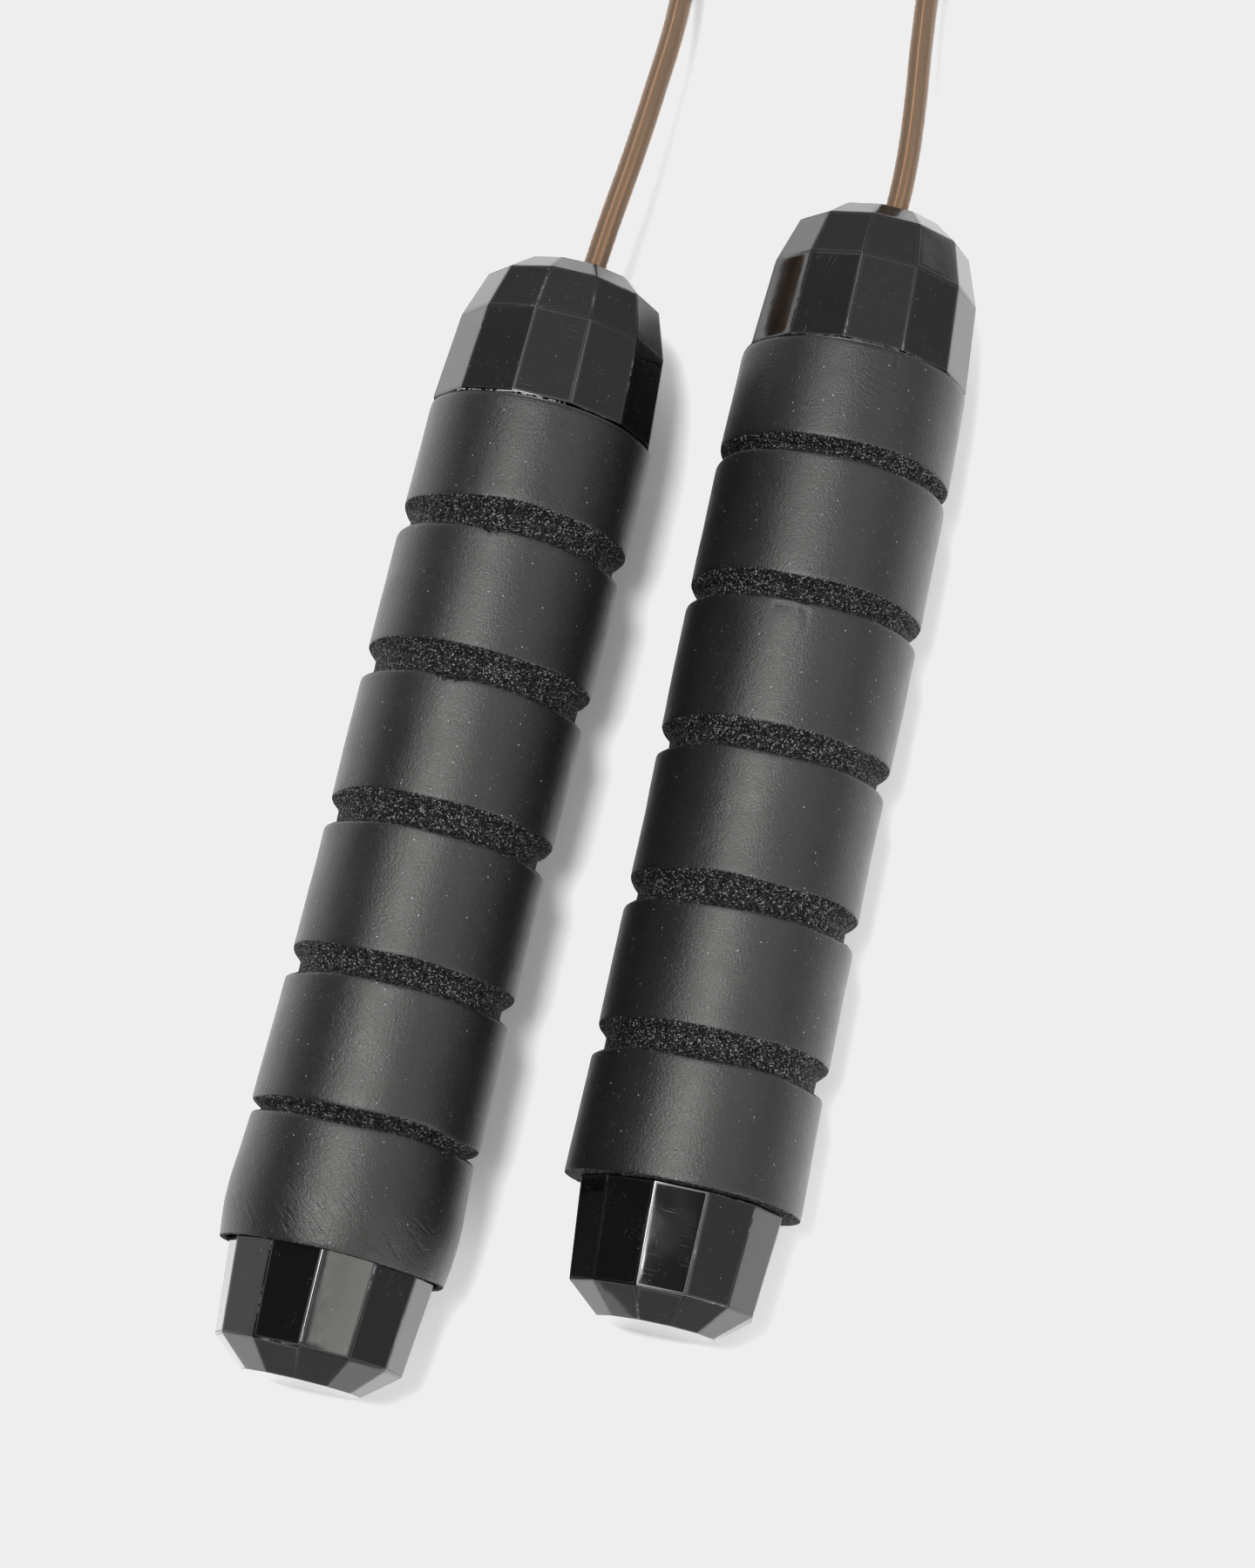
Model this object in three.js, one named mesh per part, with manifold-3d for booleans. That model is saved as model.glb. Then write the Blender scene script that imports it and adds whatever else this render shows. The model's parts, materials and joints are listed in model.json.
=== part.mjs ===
// A jump rope: two foam-sleeved handles that spin on ball bearings at the two ends of one coated wire rope.
// Millimetres, +Z up, standing on z = 0. The origin is under the middle of the pair of handles.
// Each handle is built in its own frame: +Y runs out of its nose, and a "station" is a distance behind the
// nose face, so a point at a station has y = -station. The bearing, swivel and stop sit inside on that axis.
import * as THREE from "three";
import { mergeVertices } from "three/addons/utils/BufferGeometryUtils.js";
import Module from "manifold-3d";

const wasm = await Module();
wasm.setup();

// Driving dimensions
const GAP = 0.3; // between pieces that touch on the real object
const RUNNING_GAP = 0.2; // between pieces that turn or slide past each other inside a handle
const PAST = 1; // how far a cutting or joining solid reaches past the face it meets
const WELD = 1e-4; // vertices closer than this are one vertex
const FOAM_R = 17.5;
const FOAM_SIDES = 36;
const HANDLE_LENGTH = 174.4;
const CAP_SIDES = 12;
const FACET_UP = 180 / CAP_SIDES; // turns a cap so that one facet faces straight up
const NOSE_BASE = 25; // station where the nose cap meets the foam
const TAIL_BASE = 155; // station where the end cap meets the foam
const TUBE_R = 12;
const TUBE_WALL = 1.6;
const ROPE_R = 2;
const ROPE_SIDES = 10;

// The caps: corner radius and station of each tier's edges
const NOSE_TIERS = [[9.95, 0], [14, 3.3], [16.5, 10.9], [17.55, NOSE_BASE]];
const TAIL_TIERS = [[15.55, TAIL_BASE], [14.1, 170.2], [8.95, HANDLE_LENGTH]];
const PLUG_R = TUBE_R - TUBE_WALL - GAP;
const NOSE_PLUG_END = 38;
const TAIL_PLUG_END = 143;
const TAIL_BORE_R = 8.4;
const TAIL_BORE_END = 170;

// The foam's cut grooves
const GROOVE_DEPTH = 1.5;
const GROOVE_SLOPE = 0.8;
const FOAM_ROUND = 0.8;
const FOAM_BORE_R = TUBE_R + GAP;
const LIP_BORE_R = 16; // the left foam's last edge stretches over the end cap

// The bearing, of the 8 x 16 x 5 mm size
const BEARING_FRONT = 26;
const BEARING_WIDTH = 5;
const BEARING_BACK = BEARING_FRONT + BEARING_WIDTH;
const BEARING_MID = BEARING_FRONT + BEARING_WIDTH / 2;
const BEARING_OUTER_R = 8;
const BEARING_BORE_R = 4;
const OUTER_LAND_R = 6.7;
const INNER_LAND_R = 5.3;
const PITCH_R = 6;
const BALL_R = 1.2;
const BALLS = 7;
const RACE_R = BALL_R + 0.1;
const RACE_STEPS = 4;
const CAGE_HALF = 1.6;
const CAGE_WALL = 0.45;
const POCKET_PLAY = 0.15;
const POCKET_SIDES = 10;
const SHIELD_INSET = 0.2;
const SHIELD_THICK = 0.25;

// The nose cap's bores, front to back
const MOUTH_R = 5.2;
const CHAMBER_R = 6.8;
const CHAMBER_FRONT = 20;
const POCKET_R = BEARING_OUTER_R + RUNNING_GAP;

// The swivel sleeve, washer and stop on the rope
const SLEEVE_FRONT = 23;
const SLEEVE_BORE_R = ROPE_R + GAP;
const SLEEVE_R = BEARING_BORE_R - RUNNING_GAP;
const FLANGE_R = 5;
const FLANGE_THICK = 1;
const FLANGE_BACK = BEARING_BACK + GAP + FLANGE_THICK;
const WASHER_R = 5.5;
const WASHER_THICK = 0.8;
const WASHER_BACK = FLANGE_BACK + GAP + WASHER_THICK;
const COLLAR_R = 6;
const COLLAR_LENGTH = 10;
const COLLAR_FRONT = WASHER_BACK + GAP;
const COLLAR_MID = COLLAR_FRONT + COLLAR_LENGTH / 2;
const SCREW_R = 1.5;
const SCREW_HOLE_R = SCREW_R + RUNNING_GAP;
const SCREW_FOOT = ROPE_R + RUNNING_GAP;
const SCREW_HEAD = COLLAR_R - RUNNING_GAP;
const SOCKET_R = 0.85;
const SOCKET_DEPTH = 1.5;
const SOCKET_SIDES = 6;

const FINE_SIDES = 30;
const SMALL_SIDES = 20;

// Each handle: the middle of its nose face, its yaw from +Y to +X, how far each cap is turned in the foam,
// its foam's grooves by their front and back stations, and where a foam that laps over its end cap ends
const HANDLES = [
  {
    side: "left",
    nose: [-4.35, 80.45],
    yaw: 13.25,
    noseTurn: 1.4,
    tailTurn: 14.5,
    grooves: [[41.9, 46.8], [64.8, 70.1], [88.5, 93.6], [112.3, 116.8], [135.6, 137.9]],
    lipEnd: 156.3,
  },
  {
    side: "right",
    nose: [43.33, 89.3],
    yaw: 11.95,
    noseTurn: 7,
    tailTurn: -0.6,
    grooves: [[40.9, 43.9], [62.8, 66.9], [85.7, 90.3], [109.2, 114.2], [132, 136.8]],
    lipEnd: null,
  },
];
const AXIS_Z = FOAM_R * Math.cos(Math.PI / FOAM_SIDES); // the foam stands on one of its flats

// The rope's two free stretches, from its tail behind the stop to where it enters the stored coil
const LEFT_ROUTE = [
  [-15.13, 34.7, AXIS_Z], [-12.38, 46.38, AXIS_Z], [-9.63, 58.06, AXIS_Z], [-6.6, 68.65, AXIS_Z],
  [-3, 79.4, AXIS_Z], [0.2, 89.6, 17.3], [4.1, 101.5, 16.5], [7.7, 113.8, 14.9], [11, 126.6, 12.4],
  [12.9, 139, 9.1], [12.4, 150.5, 5.9], [9.2, 161, 3.6], [4.8, 169.5, 2.6], [0.9, 177, 2.2],
];
const RIGHT_ROUTE = [
  [33.6, 43.32, AXIS_Z], [36.08, 55.06, AXIS_Z], [38.57, 66.8, AXIS_Z], [41.2, 77.5, AXIS_Z],
  [44, 88, AXIS_Z], [46.6, 98.5, 17.1], [48.4, 110, 16.1], [49.8, 122, 14.3], [51.7, 134, 11.4],
  [54.9, 145.5, 8.1], [58.6, 156.5, 5.1], [62, 167, 3.1], [64.6, 175.5, 2.3], [66, 182, 2.1],
];
const ROPE_STEP = 9;

// The coil of the rope's unseen length, as the outer shape of its turns
const COIL_CENTRE = [31, 205];
const COIL_INNER_R = 14.9;
const COIL_OUTER_R = 39.6;
const COIL_LOW = 0.9;
const COIL_HIGH = 17.6;
const COIL_ROUND = 2;
const COIL_SIDES = 40;

// The strap that holds the coil
const STRAP_THICK = 0.6;
const STRAP_WIDTH = 9;
const STRAP_TURN = 90;

const MATERIALS = {
  gloss: { color: 0x141417, roughness: 0.12, metalness: 0 },
  foam: { color: 0x3a3a3c, roughness: 0.75, metalness: 0 },
  tube: { color: 0x2a2a2c, roughness: 0.5, metalness: 0 },
  steel: { color: 0xb9bcc0, roughness: 0.25, metalness: 1 },
  cage: { color: 0xd8d2b8, roughness: 0.5, metalness: 0 },
  brass: { color: 0xb8923f, roughness: 0.3, metalness: 1 },
  rope: { color: 0x9a8677, roughness: 0.25, metalness: 0 },
  strap: { color: 0x222224, roughness: 0.9, metalness: 0 },
};

// A solid of revolution about the handle's axis from [radius, station] points, closed back on itself
function turned(profile, sides, turn = 0) {
  const points = profile.map(([radius, station]) => new THREE.Vector2(radius, -station));
  const onAxis = profile[0][0] === 0 && profile.at(-1)[0] === 0;
  if (!onAxis) points.push(points[0].clone());
  return new THREE.LatheGeometry(points, sides, THREE.MathUtils.degToRad(turn));
}

// A plain ring between two radii and two stations
function ring(inner, outer, front, back, sides) {
  return turned([[inner, back], [outer, back], [outer, front], [inner, front]], sides);
}

function solidOf(geometry) {
  const bare = geometry.index ? geometry.toNonIndexed() : geometry.clone();
  bare.deleteAttribute("normal");
  bare.deleteAttribute("uv");
  const merged = mergeVertices(bare, WELD);
  const triVerts = new Uint32Array(merged.index.array);
  const vertProperties = merged.attributes.position.array;
  return new wasm.Manifold(new wasm.Mesh({ numProp: 3, vertProperties, triVerts }));
}

function geometryOf(solid) {
  const { vertProperties, triVerts } = solid.getMesh();
  const geometry = new THREE.BufferGeometry();
  geometry.setAttribute("position", new THREE.BufferAttribute(vertProperties, 3));
  geometry.setIndex(new THREE.BufferAttribute(triVerts, 1));
  return geometry;
}

function named(name, geometry, look) {
  const mesh = new THREE.Mesh(geometry, new THREE.MeshStandardMaterial(MATERIALS[look]));
  mesh.name = name;
  return mesh;
}

// A round bar along local +Y turned to point radially, at an angle round the axis from straight up
function radialBar(radius, low, high, station, angle, sides) {
  const bar = new THREE.CylinderGeometry(radius, radius, high - low, sides);
  bar.rotateX(Math.PI / 2);
  bar.translate(0, -station, (low + high) / 2);
  bar.rotateY(angle);
  return bar;
}

// The round stem of a cap, which the core tube's end fits over
function plugProfile(back, front) {
  return [[0, back], [PLUG_R, back], [PLUG_R, front], [0, front]];
}

function noseCap(turn) {
  const tiers = [[0, 0], ...NOSE_TIERS, [0, NOSE_BASE]].reverse();
  const outside = solidOf(turned(tiers, CAP_SIDES, FACET_UP + turn));
  const plug = plugProfile(NOSE_PLUG_END, NOSE_BASE - PAST);
  const bores = [
    [0, NOSE_PLUG_END + PAST],
    [POCKET_R, NOSE_PLUG_END + PAST],
    [POCKET_R, BEARING_FRONT - GAP],
    [CHAMBER_R, BEARING_FRONT - GAP],
    [CHAMBER_R, CHAMBER_FRONT],
    [MOUTH_R, CHAMBER_FRONT - (CHAMBER_R - MOUTH_R)],
    [MOUTH_R, -PAST],
    [0, -PAST],
  ];
  const whole = outside.add(solidOf(turned(plug, FINE_SIDES)));
  return geometryOf(whole.subtract(solidOf(turned(bores, FINE_SIDES))));
}

function endCap(turn) {
  const tiers = [[0, TAIL_BASE], ...TAIL_TIERS, [0, HANDLE_LENGTH]].reverse();
  const outside = solidOf(turned(tiers, CAP_SIDES, FACET_UP + turn));
  const plug = plugProfile(TAIL_BASE + PAST, TAIL_PLUG_END);
  const bore = [
    [0, TAIL_BORE_END],
    [TAIL_BORE_R, TAIL_BORE_END],
    [TAIL_BORE_R, TAIL_PLUG_END - PAST],
    [0, TAIL_PLUG_END - PAST],
  ];
  const whole = outside.add(solidOf(turned(plug, FINE_SIDES)));
  return geometryOf(whole.subtract(solidOf(turned(bore, FINE_SIDES))));
}

// The foam sleeve: rounded front edge, cut grooves, and a flat end or a thin lip over the end cap
function foamGrip(grooves, lipEnd) {
  const front = NOSE_BASE + GAP;
  const flatEnd = TAIL_BASE - GAP;
  const floor = FOAM_R - GROOVE_DEPTH;
  const profile = [[FOAM_BORE_R, front], [FOAM_R - FOAM_ROUND, front], [FOAM_R, front + FOAM_ROUND]];
  for (const [top, bottom] of grooves) {
    profile.push([FOAM_R, top], [floor, top + GROOVE_SLOPE]);
    profile.push([floor, bottom - GROOVE_SLOPE], [FOAM_R, bottom]);
  }
  profile.push([FOAM_R, lipEnd ?? flatEnd]);
  if (lipEnd) profile.push([LIP_BORE_R, lipEnd], [LIP_BORE_R, flatEnd]);
  profile.push([FOAM_BORE_R, flatEnd]);
  return turned(profile.reverse(), FOAM_SIDES, 180 / FOAM_SIDES);
}

function coreTube() {
  return ring(TUBE_R - TUBE_WALL, TUBE_R, NOSE_BASE + GAP, TAIL_BASE - GAP, FINE_SIDES);
}

// A bearing ring's raceway: an arc about the balls' circle, on the side that faces them
function raceway(outward) {
  const land = outward ? OUTER_LAND_R : INNER_LAND_R;
  const half = Math.acos(Math.abs(land - PITCH_R) / RACE_R);
  const points = [];
  for (let i = 0; i <= RACE_STEPS; i++) {
    const angle = half * (1 - (2 * i) / RACE_STEPS);
    const reach = RACE_R * Math.cos(angle) * (outward ? 1 : -1);
    points.push([PITCH_R + reach, BEARING_MID + RACE_R * Math.sin(angle)]);
  }
  return points;
}

function outerRing() {
  const race = raceway(true).reverse();
  return turned(
    [
      [OUTER_LAND_R, BEARING_FRONT],
      ...race,
      [OUTER_LAND_R, BEARING_BACK],
      [BEARING_OUTER_R, BEARING_BACK],
      [BEARING_OUTER_R, BEARING_FRONT],
    ],
    FINE_SIDES,
  );
}

function innerRing() {
  return turned(
    [
      [BEARING_BORE_R, BEARING_FRONT],
      [BEARING_BORE_R, BEARING_BACK],
      [INNER_LAND_R, BEARING_BACK],
      ...raceway(false),
      [INNER_LAND_R, BEARING_FRONT],
    ],
    FINE_SIDES,
  );
}

function ballAngle(index) {
  return (index * 2 * Math.PI) / BALLS;
}

function ballCage() {
  const inner = PITCH_R - CAGE_WALL;
  const outer = PITCH_R + CAGE_WALL;
  let cage = solidOf(ring(inner, outer, BEARING_MID - CAGE_HALF, BEARING_MID + CAGE_HALF, FINE_SIDES));
  for (let i = 0; i < BALLS; i++) {
    const pocketR = BALL_R + POCKET_PLAY;
    const pocket = radialBar(pocketR, inner - PAST, outer + PAST, BEARING_MID, ballAngle(i), POCKET_SIDES);
    cage = cage.subtract(solidOf(pocket));
  }
  return geometryOf(cage);
}

function ball(index) {
  const sphere = new THREE.IcosahedronGeometry(BALL_R, 1);
  sphere.translate(0, -BEARING_MID, PITCH_R);
  sphere.rotateY(ballAngle(index));
  return sphere;
}

function shield(front) {
  const inner = INNER_LAND_R + RUNNING_GAP;
  const outer = OUTER_LAND_R - RUNNING_GAP;
  return ring(inner, outer, front, front + SHIELD_THICK, FINE_SIDES);
}

function swivelSleeve() {
  const flangeFront = BEARING_BACK + GAP;
  return turned(
    [
      [SLEEVE_BORE_R, FLANGE_BACK],
      [FLANGE_R, FLANGE_BACK],
      [FLANGE_R, flangeFront],
      [SLEEVE_R, flangeFront],
      [SLEEVE_R, SLEEVE_FRONT],
      [SLEEVE_BORE_R, SLEEVE_FRONT],
    ],
    SMALL_SIDES,
  );
}

function washer() {
  return ring(SLEEVE_BORE_R, WASHER_R, WASHER_BACK - WASHER_THICK, WASHER_BACK, SMALL_SIDES);
}

function stopCollar() {
  const body = ring(SLEEVE_BORE_R, COLLAR_R, COLLAR_FRONT, COLLAR_FRONT + COLLAR_LENGTH, SMALL_SIDES);
  const hole = radialBar(SCREW_HOLE_R, 0, COLLAR_R + PAST, COLLAR_MID, 0, SMALL_SIDES);
  return geometryOf(solidOf(body).subtract(solidOf(hole)));
}

function setScrew() {
  const socketFoot = SCREW_HEAD - SOCKET_DEPTH;
  const body = radialBar(SCREW_R, SCREW_FOOT, SCREW_HEAD, COLLAR_MID, 0, SMALL_SIDES);
  const socket = radialBar(SOCKET_R, socketFoot, SCREW_HEAD + PAST, COLLAR_MID, 0, SOCKET_SIDES);
  return geometryOf(solidOf(body).subtract(solidOf(socket)));
}

function handle({ side, nose, yaw, noseTurn, tailTurn, grooves, lipEnd }) {
  const group = new THREE.Group();
  group.position.set(nose[0], nose[1], AXIS_Z);
  group.rotation.z = -THREE.MathUtils.degToRad(yaw);
  const shieldBack = BEARING_BACK - SHIELD_INSET - SHIELD_THICK;
  group.add(
    named(`${side}_nose_cap`, noseCap(noseTurn), "gloss"),
    named(`${side}_end_cap`, endCap(tailTurn), "gloss"),
    named(`${side}_foam_grip`, foamGrip(grooves, lipEnd), "foam"),
    named(`${side}_core_tube`, coreTube(), "tube"),
    named(`${side}_bearing_outer_ring`, outerRing(), "steel"),
    named(`${side}_bearing_inner_ring`, innerRing(), "steel"),
    named(`${side}_ball_cage`, ballCage(), "cage"),
    named(`${side}_front_shield`, shield(BEARING_FRONT + SHIELD_INSET), "steel"),
    named(`${side}_rear_shield`, shield(shieldBack), "steel"),
    named(`${side}_swivel_sleeve`, swivelSleeve(), "brass"),
    named(`${side}_washer`, washer(), "steel"),
    named(`${side}_stop_collar`, stopCollar(), "brass"),
    named(`${side}_set_screw`, setScrew(), "steel"),
  );
  for (let i = 0; i < BALLS; i++) {
    group.add(named(`${side}_ball_${i + 1}`, ball(i), "steel"));
  }
  return group;
}

// The rope along a route, as a bar of constant round section
function ropeStretch(name, route) {
  const points = route.map((point) => new THREE.Vector3(...point));
  const path = new THREE.CatmullRomCurve3(points, false, "centripetal");
  const section = new THREE.Shape();
  for (let i = 0; i < ROPE_SIDES; i++) {
    const angle = (i * 2 * Math.PI) / ROPE_SIDES;
    const point = [ROPE_R * Math.cos(angle), ROPE_R * Math.sin(angle)];
    if (i === 0) section.moveTo(...point);
    else section.lineTo(...point);
  }
  const steps = Math.round(path.getLength() / ROPE_STEP);
  return named(name, new THREE.ExtrudeGeometry(section, { steps, extrudePath: path }), "rope");
}

// The coil's outer shape: a ring about Z with rounded corners
function ropeCoil() {
  const profile = [
    [COIL_INNER_R, COIL_HIGH - COIL_ROUND],
    [COIL_INNER_R, COIL_LOW + COIL_ROUND],
    [COIL_INNER_R + COIL_ROUND, COIL_LOW],
    [COIL_OUTER_R - COIL_ROUND, COIL_LOW],
    [COIL_OUTER_R, COIL_LOW + COIL_ROUND],
    [COIL_OUTER_R, COIL_HIGH - COIL_ROUND],
    [COIL_OUTER_R - COIL_ROUND, COIL_HIGH],
    [COIL_INNER_R + COIL_ROUND, COIL_HIGH],
  ];
  const points = [...profile, profile[0]].map(([radius, height]) => new THREE.Vector2(radius, height));
  const geometry = new THREE.LatheGeometry(points, COIL_SIDES);
  geometry.rotateX(Math.PI / 2);
  return geometry;
}

// A flat strap closed round the coil's section
function coilStrap() {
  const inner = {
    left: Math.sqrt(COIL_INNER_R ** 2 - (STRAP_WIDTH / 2) ** 2) - GAP,
    right: COIL_OUTER_R + GAP,
    low: COIL_LOW - GAP,
    high: COIL_HIGH + GAP,
  };
  const rectangle = (path, grow) => {
    path.moveTo(inner.left - grow, inner.low - grow);
    path.lineTo(inner.right + grow, inner.low - grow);
    path.lineTo(inner.right + grow, inner.high + grow);
    path.lineTo(inner.left - grow, inner.high + grow);
    path.closePath();
    return path;
  };
  const outline = rectangle(new THREE.Shape(), STRAP_THICK);
  outline.holes.push(rectangle(new THREE.Path(), 0));
  const geometry = new THREE.ExtrudeGeometry(outline, { depth: STRAP_WIDTH, bevelEnabled: false });
  geometry.translate(0, 0, -STRAP_WIDTH / 2);
  geometry.rotateX(Math.PI / 2);
  return geometry;
}

function storedCoil() {
  const group = new THREE.Group();
  group.position.set(...COIL_CENTRE, 0);
  const strap = named("coil_strap", coilStrap(), "strap");
  strap.rotation.z = THREE.MathUtils.degToRad(STRAP_TURN);
  group.add(named("rope_coil", ropeCoil(), "rope"), strap);
  return group;
}

const jumpRope = new THREE.Group();
jumpRope.add(
  ...HANDLES.map(handle),
  ropeStretch("rope_left_lead", LEFT_ROUTE),
  ropeStretch("rope_right_lead", RIGHT_ROUTE),
  storedCoil(),
);

export default jumpRope;
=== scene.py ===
# A jump rope's looks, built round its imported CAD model: foam grips, faceted caps and a coated wire rope.
import json
import math

import bmesh
import bpy
import numpy as np
from mathutils import Matrix, Vector, noise


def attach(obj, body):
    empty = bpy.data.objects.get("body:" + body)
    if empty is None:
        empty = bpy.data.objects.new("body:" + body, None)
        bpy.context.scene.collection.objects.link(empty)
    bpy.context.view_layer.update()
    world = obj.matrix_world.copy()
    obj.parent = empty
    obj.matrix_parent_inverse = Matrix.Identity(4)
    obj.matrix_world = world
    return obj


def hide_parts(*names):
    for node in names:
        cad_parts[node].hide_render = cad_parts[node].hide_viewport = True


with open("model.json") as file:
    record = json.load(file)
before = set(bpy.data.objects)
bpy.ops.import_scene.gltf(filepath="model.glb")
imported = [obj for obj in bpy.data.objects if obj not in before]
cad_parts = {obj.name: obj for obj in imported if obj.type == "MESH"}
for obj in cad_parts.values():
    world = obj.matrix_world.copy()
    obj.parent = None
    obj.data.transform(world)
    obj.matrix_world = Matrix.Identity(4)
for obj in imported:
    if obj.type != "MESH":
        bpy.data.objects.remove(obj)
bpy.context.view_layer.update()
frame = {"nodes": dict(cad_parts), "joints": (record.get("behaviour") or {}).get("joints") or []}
rng = np.random.default_rng(7)

MM = 0.001
UP = Vector((0, 0, 1))
SIDES = ("left", "right")
JOINTS = {joint["name"]: joint for joint in frame["joints"]}


# ---------------------------------------------------------------- the handles' own frames

def handle_matrix(side):
    """A handle's frame: origin at the middle of its nose face, X to its right, Y out of the nose, Z up."""
    joint = JOINTS[f"{side}_handle_spin"]
    out = Vector(joint["axis"]).normalized()
    right = out.cross(UP)
    matrix = Matrix((right, out, UP)).transposed().to_4x4()
    matrix.translation = Vector(joint["pos_m"])
    return matrix


FRAMES = {side: handle_matrix(side) for side in SIDES}
AXIS_HEIGHT = FRAMES["left"].translation.z


def placed(side, radius, station, angle):
    """World points from arrays in a handle's frame, in metres: angle 0 is on top and turns to the right."""
    local = np.stack([radius * np.sin(angle), -station, radius * np.cos(angle)], axis=-1)
    matrix = np.array(FRAMES[side])
    return local @ matrix[:3, :3].T + matrix[:3, 3]


# ---------------------------------------------------------------- the camera

SENSOR_MM = 36  # along the picture's longer side
LENS_MM = 92.74552
NEAR_CLIP = 10 * MM
CAMERA_TILT = math.radians(13.23)
CAMERA_DISTANCE = 608.4 * MM
CAMERA_TARGET = Vector((3.25, 0.4, 17.5)) * MM


def make_camera():
    data = bpy.data.cameras.new("camera")
    data.sensor_width = SENSOR_MM
    data.lens = LENS_MM
    data.clip_start = NEAR_CLIP
    camera = bpy.data.objects.new("camera", data)
    bpy.context.scene.collection.objects.link(camera)
    forward = Vector((0, math.sin(CAMERA_TILT), -math.cos(CAMERA_TILT)))
    camera.location = CAMERA_TARGET - forward * CAMERA_DISTANCE
    camera.rotation_euler = (CAMERA_TILT, 0, 0)
    bpy.context.scene.camera = camera


make_camera()


# ---------------------------------------------------------------- mesh helpers

def add_object(name, data):
    piece = bpy.data.objects.new(name, data)
    bpy.context.scene.collection.objects.link(piece)
    return piece


def grid_mesh(name, points, wrap_rows, wrap_columns):
    """A quad mesh over points[row, column], closed on itself along the wrapped ways."""
    rows, columns = points.shape[:2]
    row = np.arange(rows if wrap_rows else rows - 1)
    column = np.arange(columns if wrap_columns else columns - 1)
    i, j = np.meshgrid(row, column, indexing="ij")
    i_next, j_next = (i + 1) % rows, (j + 1) % columns
    corners = [i * columns + j, i_next * columns + j, i_next * columns + j_next, i * columns + j_next]
    quads = np.stack(corners, axis=-1).reshape(-1, 4)
    mesh = bpy.data.meshes.new(name)
    mesh.vertices.add(rows * columns)
    mesh.vertices.foreach_set("co", points.reshape(-1).astype(np.float32))
    mesh.loops.add(quads.size)
    mesh.loops.foreach_set("vertex_index", quads.reshape(-1).astype(np.int32))
    mesh.polygons.add(len(quads))
    mesh.polygons.foreach_set("loop_start", np.arange(0, quads.size, 4, dtype=np.int32))
    mesh.update(calc_edges=True)
    mesh.validate()
    return mesh


def shade(mesh, sharp_degrees):
    mesh.shade_smooth()
    mesh.set_sharp_from_angle(angle=math.radians(sharp_degrees))


def face_out(mesh):
    """Turns every face outwards."""
    work = bmesh.new()
    work.from_mesh(mesh)
    bmesh.ops.recalc_face_normals(work, faces=work.faces)
    work.to_mesh(mesh)
    work.free()


def with_modifiers_applied(piece):
    """Bakes a piece's modifiers into its mesh."""
    evaluated = piece.evaluated_get(bpy.context.evaluated_depsgraph_get())
    baked = bpy.data.meshes.new_from_object(evaluated)
    piece.modifiers.clear()
    piece.data = baked


def smoothstep(x):
    x = np.clip(x, 0, 1)
    return x * x * (3 - 2 * x)


# ---------------------------------------------------------------- node helpers

class Nodes:
    """Short calls for building one node tree."""

    def __init__(self, tree):
        self.tree = tree

    def make(self, kind, inputs=None, **settings):
        node = self.tree.nodes.new(kind)
        for key, value in settings.items():
            setattr(node, key, value)
        for key, value in (inputs or {}).items():
            self.put(node.inputs[key], value)
        return node

    def put(self, socket, value):
        if isinstance(value, bpy.types.NodeSocket):
            self.tree.links.new(value, socket)
        else:
            socket.default_value = value

    def math(self, operation, a, b=0.0):
        return self.make("ShaderNodeMath", {0: a, 1: b}, operation=operation).outputs[0]

    def ramp(self, value, low, high, to_low=0.0, to_high=1.0):
        inputs = {"Value": value, "From Min": low, "From Max": high, "To Min": to_low, "To Max": to_high}
        return self.make("ShaderNodeMapRange", inputs, interpolation_type="SMOOTHSTEP").outputs[0]

    def noise(self, place, size, detail=2.0, roughness=0.5):
        """Noise in 0..1 whose features are about size metres across."""
        inputs = {"Vector": place, "Scale": 1 / size, "Detail": detail, "Roughness": roughness}
        return self.make("ShaderNodeTexNoise", inputs).outputs[0]

    def cells(self, place, size):
        """Cells about size metres across: the distance from a cell's middle, and the cell's colour."""
        cell = self.make("ShaderNodeTexVoronoi", {"Vector": place, "Scale": 1 / size})
        return cell.outputs["Distance"], cell.outputs["Color"]

    def chance(self, colour):
        """A random number in 0..1 for each cell, from its colour."""
        return self.make("ShaderNodeSeparateColor", {0: colour}).outputs[0]

    def stretch(self, place, scale):
        return self.make("ShaderNodeMapping", {"Vector": place, "Scale": scale}).outputs[0]

    def mix(self, factor, a, b):
        node = self.make("ShaderNodeMix", data_type="RGBA")
        self.put(node.inputs[0], factor)
        self.put(node.inputs[6], a)
        self.put(node.inputs[7], b)
        return node.outputs[2]

    def bump(self, height, depth, normal=None):
        """depth is how tall, in metres, a height of 1 stands."""
        inputs = {"Height": height, "Distance": depth, "Strength": 1.0}
        if normal is not None:
            inputs["Normal"] = normal
        return self.make("ShaderNodeBump", inputs).outputs[0]


def new_material(name):
    """A material with one Principled surface: the material, its Nodes, the surface, object coordinates."""
    material = bpy.data.materials.new(name)
    material.use_nodes = True
    tree = material.node_tree
    tree.nodes.clear()
    nodes = Nodes(tree)
    surface = nodes.make("ShaderNodeBsdfPrincipled")
    nodes.make("ShaderNodeOutputMaterial", {"Surface": surface.outputs[0]})
    place = nodes.make("ShaderNodeTexCoord").outputs["Object"]
    return material, nodes, surface, place


SPECK_CORE = 0.6  # share of a speck's radius within which it is full


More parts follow.
